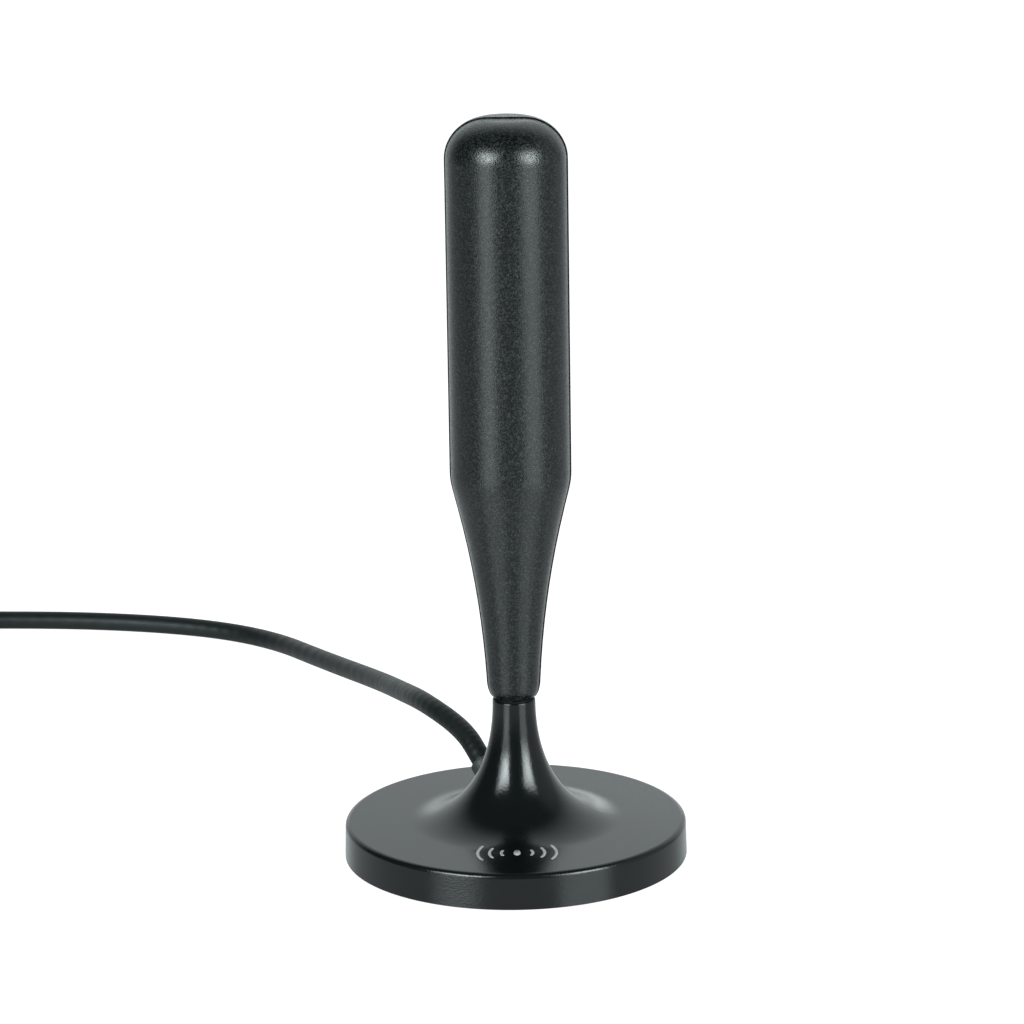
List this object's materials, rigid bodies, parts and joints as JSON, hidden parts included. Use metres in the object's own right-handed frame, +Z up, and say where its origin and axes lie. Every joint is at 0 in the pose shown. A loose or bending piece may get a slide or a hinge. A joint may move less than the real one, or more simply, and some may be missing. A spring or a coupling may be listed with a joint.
{
  "type": "indoor stick antenna",
  "caption": "Upright stick antenna on a weighted trumpet-shaped round foot, turning on a swivel in the neck, with a coiled coaxial lead and a screw-on connector.",
  "frame": {"origin": "middle of the foot's underside, on the surface that it stands on", "axes": "+Z up the stick, -Y towards the front of the foot, +X to the right seen from the front"},
  "size_m": [0.2626, 0.2327, 0.174],
  "materials": {
    "stick_plastic": "satin, fine grain with a faint metallic sparkle",
    "foot_plastic": "semi-gloss",
    "plate_plastic": "matt",
    "gland_plastic": "matt",
    "pad_rubber": "solid, non-slip",
    "seal_rubber": "smooth",
    "acetal": "smooth",
    "weight_steel": "zinc plated",
    "spring_steel": "oiled spring steel",
    "zinc_screw": "zinc plated",
    "ferrite": "ground ceramic ferrite",
    "lead_jacket": "satin PVC with faint cross ribs",
    "lead_core_jacket": "braid and polyethylene under a clear film",
    "boot_plastic": "matt moulded PVC",
    "tie_plastic": "satin",
    "nickel": "nickel plated brass",
    "dielectric": "natural polyethylene",
    "copper": "bare copper",
    "enamelled_wire": "enamelled copper",
    "board_laminate": "green solder mask on glass fibre",
    "tinned_steel": "tin plated",
    "chip_epoxy": "matt",
    "chip_ceramic": "ceramic with tinned ends"
  },
  "bodies": {
    "base": {"base_shell": "foot_plastic", "bottom_plate": "plate_plastic", "base_screws": "zinc_screw", "foot_pad": "pad_rubber", "ballast_ring": "weight_steel", "ring_magnet": "ferrite", "flux_plate": "weight_steel", "cable_gland": "gland_plastic", "lead_crimp": "nickel", "inner_lead": "lead_core_jacket", "swivel_spigot": "acetal", "thrust_washer": "acetal", "spigot_clip": "spring_steel", "friction_ring": "seal_rubber", "coax_lead": "lead_jacket", "coax_coil": "lead_jacket", "coil_tie_a": "tie_plastic", "coil_tie_b": "tie_plastic", "coax_tail": "lead_jacket", "connector_boot": "boot_plastic", "connector_body": "nickel", "connector_dielectric": "dielectric", "centre_pin": "copper"},
    "mast": {"front_shell": "stick_plastic", "rear_shell": "stick_plastic", "antenna_board": "board_laminate", "radiator_traces": "copper", "shield_can": "tinned_steel", "amplifier_chip": "chip_epoxy", "board_components": "chip_ceramic", "balun_core": "ferrite", "balun_winding": "enamelled_wire", "board_screws": "zinc_screw", "lead_pigtail": "lead_core_jacket", "lead_wires": "copper"},
    "coupling": {"coupling_nut": "nickel"}
  },
  "joints": [
    {"name": "mast_swivel", "type": "hinge", "parent": "base", "child": "mast", "pos_m": [0, 0, 0.0381], "axis": [0, 0, 1], "range_deg": [-160, 160]},
    {"name": "coupling_spin", "type": "hinge", "parent": "base", "child": "coupling", "pos_m": [-0.217, 0.0922, 0.0058], "axis": [0, -1, 0], "continuous": true}
  ]
}
